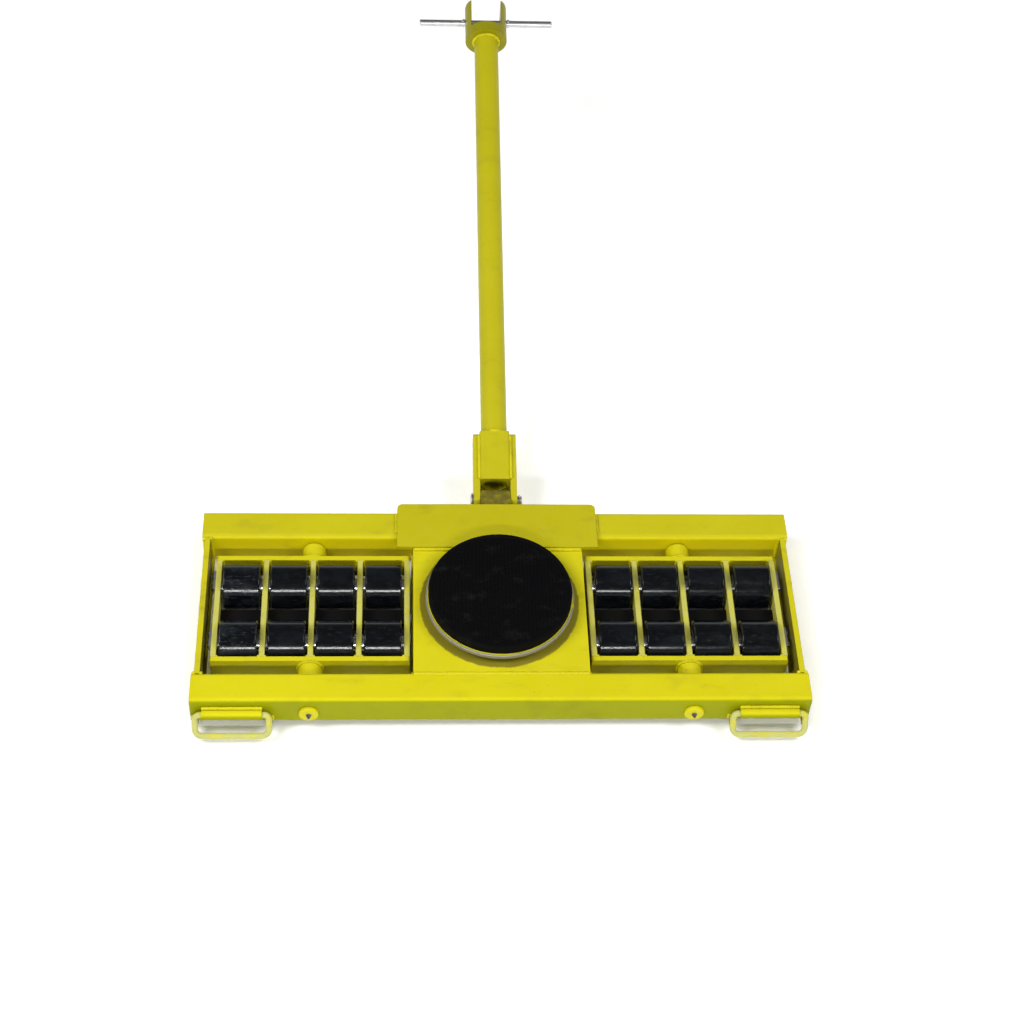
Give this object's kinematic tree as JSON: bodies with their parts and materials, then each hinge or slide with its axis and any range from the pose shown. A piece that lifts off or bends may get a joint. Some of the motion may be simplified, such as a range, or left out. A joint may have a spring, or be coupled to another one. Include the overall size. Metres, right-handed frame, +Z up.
{
  "type": "steerable machinery skate",
  "caption": "Low steel skate for moving machines: welded frame, two rocking bogies of black rollers, rubber-topped turntable, tilting drawbar with T-bar, folding handles.",
  "frame": {"origin": "on the floor, under the turntable's axis", "axes": "+X along the frame to its right-hand end, +Y towards the drawbar, +Z up"},
  "size_m": [1.08, 1.636, 0.3784],
  "materials": {
    "yellow_paint": "satin machine enamel with worn edges",
    "bright_steel": "bare drawn steel, lightly oxidised",
    "dark_steel": "oiled dark steel",
    "bearing_steel": "polished bearing steel",
    "bronze": "oiled bearing bronze",
    "black_rubber": "matt black rubber",
    "black_nylon": "glossy black polyamide, scuffed"
  },
  "bodies": {
    "frame": {"front_rail": "yellow_paint", "rear_rail": "yellow_paint", "rail_end_caps": "yellow_paint", "end_plates": "yellow_paint", "center_deck": "yellow_paint", "center_webs": "yellow_paint", "center_bottom_plate": "yellow_paint", "king_boss": "yellow_paint", "drawbar_tongue": "yellow_paint", "hinge_block": "dark_steel", "pivot_pins": "yellow_paint", "handle_brackets": "yellow_paint", "lower_race": "dark_steel"},
    "turntable": {"turntable_plate": "yellow_paint", "rubber_pad": "black_rubber", "upper_race": "dark_steel", "king_pin": "bright_steel", "king_nut": "bright_steel"},
    "ball_cage": {"ball_cage": "dark_steel", "thrust_balls": "bearing_steel"},
    "drawbar": {"clevis_cheeks": "yellow_paint", "clevis_socket": "yellow_paint", "drawbar_tube": "yellow_paint", "drawbar_fork": "yellow_paint", "hinge_pin": "bright_steel", "split_pin": "bright_steel"},
    "t_bar": {"t_bar": "bright_steel", "t_bar_roll_pins": "bright_steel"},
    "left_handle": {"left_handle": "yellow_paint"},
    "right_handle": {"right_handle": "yellow_paint"},
    "left_bogie": {"left_bogie_plates": "yellow_paint", "left_bogie_spine": "dark_steel", "left_bogie_ends": "yellow_paint", "left_pivot_bushes": "bronze", "left_axles": "bright_steel", "left_axle_keepers": "bright_steel", "left_bearings": "bearing_steel"},
    "left_front_roller_1": {"left_front_roller_1": "black_nylon"},
    "left_front_roller_2": {"left_front_roller_2": "black_nylon"},
    "left_front_roller_3": {"left_front_roller_3": "black_nylon"},
    "left_front_roller_4": {"left_front_roller_4": "black_nylon"},
    "left_rear_roller_1": {"left_rear_roller_1": "black_nylon"},
    "left_rear_roller_2": {"left_rear_roller_2": "black_nylon"},
    "left_rear_roller_3": {"left_rear_roller_3": "black_nylon"},
    "left_rear_roller_4": {"left_rear_roller_4": "black_nylon"},
    "right_bogie": {"right_bogie_plates": "yellow_paint", "right_bogie_spine": "dark_steel", "right_bogie_ends": "yellow_paint", "right_pivot_bushes": "bronze", "right_axles": "bright_steel", "right_axle_keepers": "bright_steel", "right_bearings": "bearing_steel"},
    "right_front_roller_1": {"right_front_roller_1": "black_nylon"},
    "right_front_roller_2": {"right_front_roller_2": "black_nylon"},
    "right_front_roller_3": {"right_front_roller_3": "black_nylon"},
    "right_front_roller_4": {"right_front_roller_4": "black_nylon"},
    "right_rear_roller_1": {"right_rear_roller_1": "black_nylon"},
    "right_rear_roller_2": {"right_rear_roller_2": "black_nylon"},
    "right_rear_roller_3": {"right_rear_roller_3": "black_nylon"},
    "right_rear_roller_4": {"right_rear_roller_4": "black_nylon"}
  },
  "joints": [
    {"name": "turntable_swivel", "type": "hinge", "parent": "frame", "child": "turntable", "pos_m": [0, 0, 0.1], "axis": [0, 0, 1], "continuous": true},
    {"name": "ball_cage_roll", "type": "hinge", "parent": "frame", "child": "ball_cage", "pos_m": [0, 0, 0.086], "axis": [0, 0, 1], "continuous": true},
    {"name": "drawbar_tilt", "type": "hinge", "parent": "frame", "child": "drawbar", "pos_m": [0, 0.256, 0.058], "axis": [1, 0, 0], "range_deg": [0, 75.5]},
    {"name": "t_bar_spin", "type": "hinge", "parent": "drawbar", "child": "t_bar", "pos_m": [0, 1.34517, 0.33968], "axis": [1, 0, 0], "continuous": true},
    {"name": "left_handle_fold", "type": "hinge", "parent": "frame", "child": "left_handle", "pos_m": [-0.4675, -0.222, 0.052], "axis": [-1, 0, 0], "range_deg": [0, 150]},
    {"name": "right_handle_fold", "type": "hinge", "parent": "frame", "child": "right_handle", "pos_m": [0.4675, -0.222, 0.052], "axis": [-1, 0, 0], "range_deg": [0, 150]},
    {"name": "left_bogie_rock", "type": "hinge", "parent": "frame", "child": "left_bogie", "pos_m": [-0.336, 0, 0.044], "axis": [0, 1, 0], "range_deg": [-5, 5]},
    {"name": "left_front_roller_1_spin", "type": "hinge", "parent": "left_bogie", "child": "left_front_roller_1", "pos_m": [-0.4635, -0.064, 0.0425], "axis": [1, 0, 0], "continuous": true},
    {"name": "left_front_roller_2_spin", "type": "hinge", "parent": "left_bogie", "child": "left_front_roller_2", "pos_m": [-0.3785, -0.064, 0.0425], "axis": [1, 0, 0], "continuous": true},
    {"name": "left_front_roller_3_spin", "type": "hinge", "parent": "left_bogie", "child": "left_front_roller_3", "pos_m": [-0.2935, -0.064, 0.0425], "axis": [1, 0, 0], "continuous": true},
    {"name": "left_front_roller_4_spin", "type": "hinge", "parent": "left_bogie", "child": "left_front_roller_4", "pos_m": [-0.2085, -0.064, 0.0425], "axis": [1, 0, 0], "continuous": true},
    {"name": "left_rear_roller_1_spin", "type": "hinge", "parent": "left_bogie", "child": "left_rear_roller_1", "pos_m": [-0.4635, 0.064, 0.0425], "axis": [1, 0, 0], "continuous": true},
    {"name": "left_rear_roller_2_spin", "type": "hinge", "parent": "left_bogie", "child": "left_rear_roller_2", "pos_m": [-0.3785, 0.064, 0.0425], "axis": [1, 0, 0], "continuous": true},
    {"name": "left_rear_roller_3_spin", "type": "hinge", "parent": "left_bogie", "child": "left_rear_roller_3", "pos_m": [-0.2935, 0.064, 0.0425], "axis": [1, 0, 0], "continuous": true},
    {"name": "left_rear_roller_4_spin", "type": "hinge", "parent": "left_bogie", "child": "left_rear_roller_4", "pos_m": [-0.2085, 0.064, 0.0425], "axis": [1, 0, 0], "continuous": true},
    {"name": "right_bogie_rock", "type": "hinge", "parent": "frame", "child": "right_bogie", "pos_m": [0.336, 0, 0.044], "axis": [0, 1, 0], "range_deg": [-5, 5]},
    {"name": "right_front_roller_1_spin", "type": "hinge", "parent": "right_bogie", "child": "right_front_roller_1", "pos_m": [0.2085, -0.064, 0.0425], "axis": [1, 0, 0], "continuous": true},
    {"name": "right_front_roller_2_spin", "type": "hinge", "parent": "right_bogie", "child": "right_front_roller_2", "pos_m": [0.2935, -0.064, 0.0425], "axis": [1, 0, 0], "continuous": true},
    {"name": "right_front_roller_3_spin", "type": "hinge", "parent": "right_bogie", "child": "right_front_roller_3", "pos_m": [0.3785, -0.064, 0.0425], "axis": [1, 0, 0], "continuous": true},
    {"name": "right_front_roller_4_spin", "type": "hinge", "parent": "right_bogie", "child": "right_front_roller_4", "pos_m": [0.4635, -0.064, 0.0425], "axis": [1, 0, 0], "continuous": true},
    {"name": "right_rear_roller_1_spin", "type": "hinge", "parent": "right_bogie", "child": "right_rear_roller_1", "pos_m": [0.2085, 0.064, 0.0425], "axis": [1, 0, 0], "continuous": true},
    {"name": "right_rear_roller_2_spin", "type": "hinge", "parent": "right_bogie", "child": "right_rear_roller_2", "pos_m": [0.2935, 0.064, 0.0425], "axis": [1, 0, 0], "continuous": true},
    {"name": "right_rear_roller_3_spin", "type": "hinge", "parent": "right_bogie", "child": "right_rear_roller_3", "pos_m": [0.3785, 0.064, 0.0425], "axis": [1, 0, 0], "continuous": true},
    {"name": "right_rear_roller_4_spin", "type": "hinge", "parent": "right_bogie", "child": "right_rear_roller_4", "pos_m": [0.4635, 0.064, 0.0425], "axis": [1, 0, 0], "continuous": true}
  ],
  "couplings": [
    {"joint": "ball_cage_roll", "follows": "turntable_swivel", "ratio": 0.5}
  ]
}
